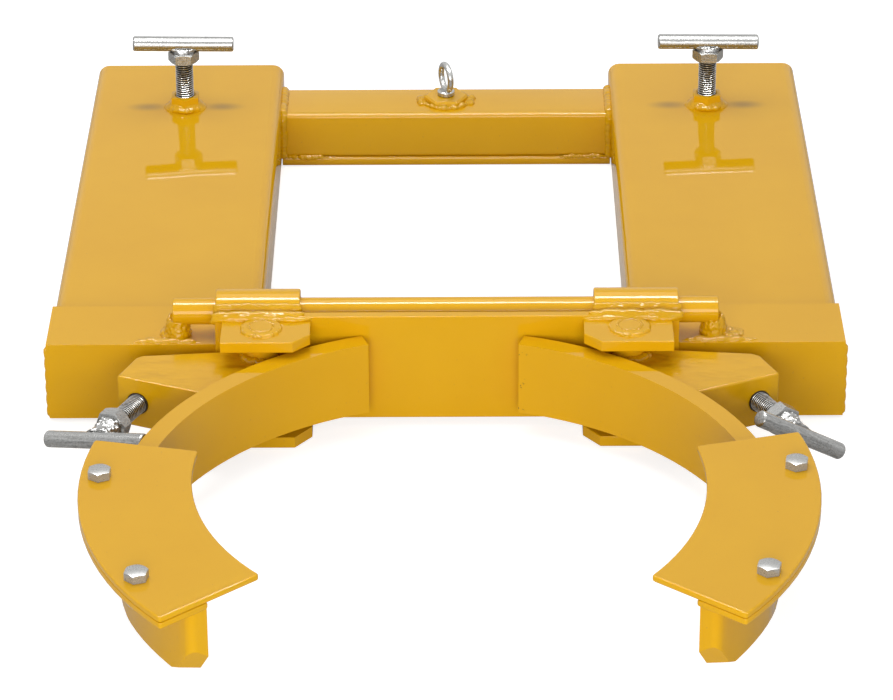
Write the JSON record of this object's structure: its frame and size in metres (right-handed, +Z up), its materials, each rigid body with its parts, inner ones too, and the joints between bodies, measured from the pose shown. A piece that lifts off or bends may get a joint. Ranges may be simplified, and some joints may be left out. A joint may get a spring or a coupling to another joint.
{
  "type": "drum lifter",
  "caption": "Fork-mounted drum lifter: a frame with two fork pockets carries a tilting head with two swinging clamp arms, each set by a tee screw.",
  "frame": {"origin": "on the ground, under the centre of the whole lifter's box", "axes": "+Z up; +Y back along the fork pockets to their open ends; the clamp arms reach out along -Y"},
  "size_m": [0.7676, 1.2052, 0.1594],
  "materials": {
    "yellow_paint": "thick gloss golden yellow paint over welded steel",
    "zinc_steel": "zinc plated, grey, lightly streaked"
  },
  "bodies": {
    "frame": {"front_angle": "yellow_paint", "rear_cross_tube": "yellow_paint", "rear_cross_bar": "yellow_paint", "eye_pad": "yellow_paint", "eye_bolt": "zinc_steel", "hinge_rod": "yellow_paint", "fork_pocket_left": "yellow_paint", "fork_screw_nut_left": "yellow_paint", "rod_saddle_left": "yellow_paint", "fork_pocket_right": "yellow_paint", "fork_screw_nut_right": "yellow_paint", "rod_saddle_right": "yellow_paint"},
    "head": {"head_plate": "yellow_paint", "hinge_sleeve_left": "yellow_paint", "upper_ear_left": "yellow_paint", "lower_ear_left": "yellow_paint", "pivot_pin_left": "yellow_paint", "hinge_sleeve_right": "yellow_paint", "upper_ear_right": "yellow_paint", "lower_ear_right": "yellow_paint", "pivot_pin_right": "yellow_paint"},
    "arm_left": {"arm_band_left": "yellow_paint", "arm_barrel_left": "yellow_paint", "screw_bracket_left": "yellow_paint", "shoe_flange_left": "yellow_paint", "grip_plate_left": "yellow_paint", "grip_bolt_rear_left": "zinc_steel", "grip_bolt_front_left": "zinc_steel", "grip_nut_rear_left": "zinc_steel", "grip_nut_front_left": "zinc_steel"},
    "arm_right": {"arm_band_right": "yellow_paint", "arm_barrel_right": "yellow_paint", "screw_bracket_right": "yellow_paint", "shoe_flange_right": "yellow_paint", "grip_plate_right": "yellow_paint", "grip_bolt_rear_right": "zinc_steel", "grip_bolt_front_right": "zinc_steel", "grip_nut_rear_right": "zinc_steel", "grip_nut_front_right": "zinc_steel"},
    "arm_screw_left": {"arm_screw_left": "zinc_steel"},
    "arm_tee_left": {"arm_tee_left": "zinc_steel"},
    "fork_screw_left": {"fork_screw_left": "zinc_steel"},
    "fork_tee_left": {"fork_tee_left": "zinc_steel"},
    "arm_screw_right": {"arm_screw_right": "zinc_steel"},
    "arm_tee_right": {"arm_tee_right": "zinc_steel"},
    "fork_screw_right": {"fork_screw_right": "zinc_steel"},
    "fork_tee_right": {"fork_tee_right": "zinc_steel"}
  },
  "joints": [
    {"name": "head_tilt", "type": "hinge", "parent": "frame", "child": "head", "pos_m": [0, -0.04498, 0.10775], "axis": [-1, 0, 0], "range_deg": [0, 90]},
    {"name": "arm_left_swing", "type": "hinge", "parent": "head", "child": "arm_left", "pos_m": [-0.1737, -0.09288, 0.0607], "axis": [0, 0, -1], "range_deg": [-0.3, 13.5]},
    {"name": "arm_screw_left_travel", "type": "slide", "parent": "arm_left", "child": "arm_screw_left", "axis": [-0.4305, -0.9026, 0], "range_m": [-0.0006, 0.0264]},
    {"name": "arm_tee_left_turn", "type": "hinge", "parent": "arm_screw_left", "child": "arm_tee_left", "pos_m": [-0.30551, -0.17667, 0.0607], "axis": [-0.4305, -0.9026, 0], "range_deg": [-84, 3741]},
    {"name": "arm_right_swing", "type": "hinge", "parent": "head", "child": "arm_right", "pos_m": [0.1737, -0.09288, 0.0607], "axis": [0, 0, 1], "range_deg": [-0.8, 12.1]},
    {"name": "arm_screw_right_travel", "type": "slide", "parent": "arm_right", "child": "arm_screw_right", "axis": [0.4524, -0.8918, 0], "range_m": [-0.0016, 0.0237]},
    {"name": "arm_tee_right_turn", "type": "hinge", "parent": "arm_screw_right", "child": "arm_tee_right", "pos_m": [0.30924, -0.17217, 0.0607], "axis": [0.4524, -0.8918, 0], "range_deg": [-222, 3353]},
    {"name": "fork_screw_left_travel", "type": "slide", "parent": "frame", "child": "fork_screw_left", "axis": [0, 0, -1], "range_m": [-0.012, 0.034]},
    {"name": "fork_tee_left_turn", "type": "hinge", "parent": "fork_screw_left", "child": "fork_tee_left", "pos_m": [-0.2794, 0.49207, 0.13065], "axis": [0, 0, -1], "range_deg": [-1700, 4818]},
    {"name": "fork_screw_right_travel", "type": "slide", "parent": "frame", "child": "fork_screw_right", "axis": [0, 0, -1], "range_m": [-0.012, 0.034]},
    {"name": "fork_tee_right_turn", "type": "hinge", "parent": "fork_screw_right", "child": "fork_tee_right", "pos_m": [0.2794, 0.49207, 0.13065], "axis": [0, 0, -1], "range_deg": [-1700, 4818]}
  ],
  "couplings": [
    {"joint": "arm_screw_left_travel", "follows": "arm_left_swing", "m_per_rad": 0.112},
    {"joint": "arm_tee_left_turn", "follows": "arm_left_swing", "ratio": 277.05},
    {"joint": "arm_screw_right_travel", "follows": "arm_right_swing", "m_per_rad": 0.112},
    {"joint": "arm_tee_right_turn", "follows": "arm_right_swing", "ratio": 277.05},
    {"joint": "fork_screw_left_travel", "follows": "fork_tee_left_turn", "m_per_rad": 0.00040425},
    {"joint": "fork_screw_right_travel", "follows": "fork_tee_right_turn", "m_per_rad": 0.00040425}
  ]
}
